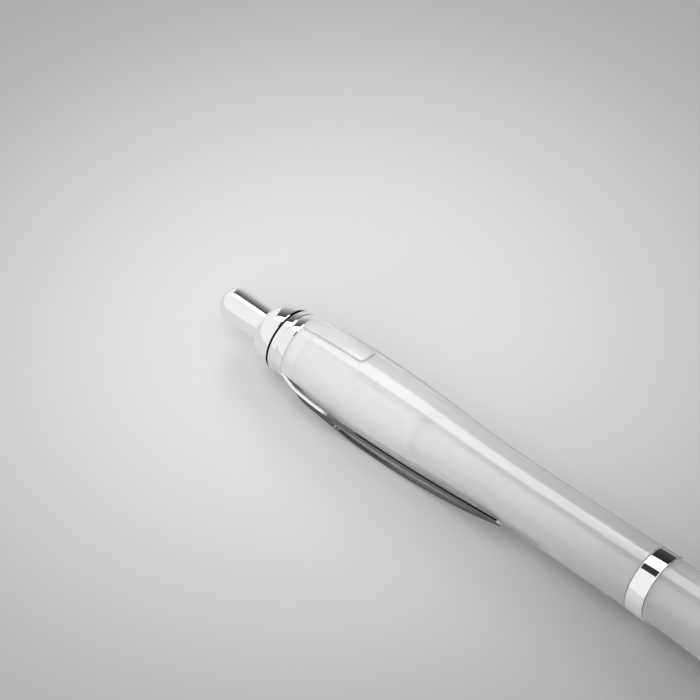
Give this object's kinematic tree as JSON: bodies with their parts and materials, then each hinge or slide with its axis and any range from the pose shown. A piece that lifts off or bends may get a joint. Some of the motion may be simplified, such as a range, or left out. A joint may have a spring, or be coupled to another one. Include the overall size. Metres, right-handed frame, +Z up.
{
  "type": "push-button ballpoint pen",
  "caption": "Retractable push-button ballpoint pen with a clear swelling barrel, chrome fittings, slotted pocket clip and a cam click mechanism inside.",
  "frame": {"origin": "centre of the bounding box's bottom face: on the table, half-way along the pen; the pen's own axis runs parallel to X at y = 0.929 mm, z = 6.000 mm", "axes": "+X along the pen towards the writing point, +Z up from the table it lies on, -Y towards the clip's side"},
  "size_m": [0.14, 0.0138, 0.0125],
  "materials": {
    "chrome_plate": "polished",
    "clear_plastic": "clear, slightly milky, glossy",
    "white_acetal": "satin",
    "refill_steel": "satin",
    "ink": "wet",
    "tip_metal": "turned",
    "carbide": "polished",
    "spring_wire": "drawn"
  },
  "bodies": {
    "barrel": {"collar": "chrome_plate", "clip_band": "chrome_plate", "upper_barrel": "clear_plastic", "cam_sleeve": "white_acetal"},
    "button": {"push_button": "chrome_plate", "plunger": "white_acetal"},
    "refill": {"cam_rotor": "white_acetal", "refill_plug": "white_acetal", "refill_tube": "refill_steel", "ink": "ink", "point_holder": "tip_metal"},
    "ball": {"writing_ball": "carbide"},
    "clip": {"pocket_clip": "chrome_plate"},
    "ring": {"waist_ring": "chrome_plate"},
    "front": {"front_barrel": "clear_plastic", "nose_cone": "chrome_plate", "return_spring": "spring_wire"}
  },
  "joints": [
    {"name": "button_press", "type": "slide", "parent": "barrel", "child": "button", "axis": [1, 0, 0], "range_m": [0, 0.006], "stiffness_N_per_m": 500, "springref_m": -0.002},
    {"name": "refill_slide", "type": "slide", "parent": "barrel", "child": "refill", "axis": [1, 0, 0], "range_m": [0, 0.006], "deforming": ["return_spring"]},
    {"name": "ball_roll", "type": "hinge", "parent": "refill", "child": "ball", "pos_m": [0.0685, 0.00093, 0.006], "axis": [0, 1, 0], "continuous": true},
    {"name": "clip_flex", "type": "hinge", "parent": "barrel", "child": "clip", "pos_m": [-0.05345, -0.00371, 0.00403], "axis": [0, 0.3914, -0.9202], "range_deg": [0, 3], "stiffness_Nm_per_rad": 4},
    {"name": "front_slide", "type": "slide", "parent": "barrel", "child": "ring", "axis": [1, 0, 0], "range_m": [0, 0.004]},
    {"name": "front_unscrew", "type": "hinge", "parent": "ring", "child": "front", "pos_m": [0.0145, 0.00093, 0.006], "axis": [1, 0, 0], "range_deg": [0, 1440]}
  ],
  "couplings": [
    {"joint": "refill_slide", "follows": "button_press", "ratio": 1},
    {"joint": "front_unscrew", "follows": "front_slide", "rad_per_m": 6282.6}
  ]
}
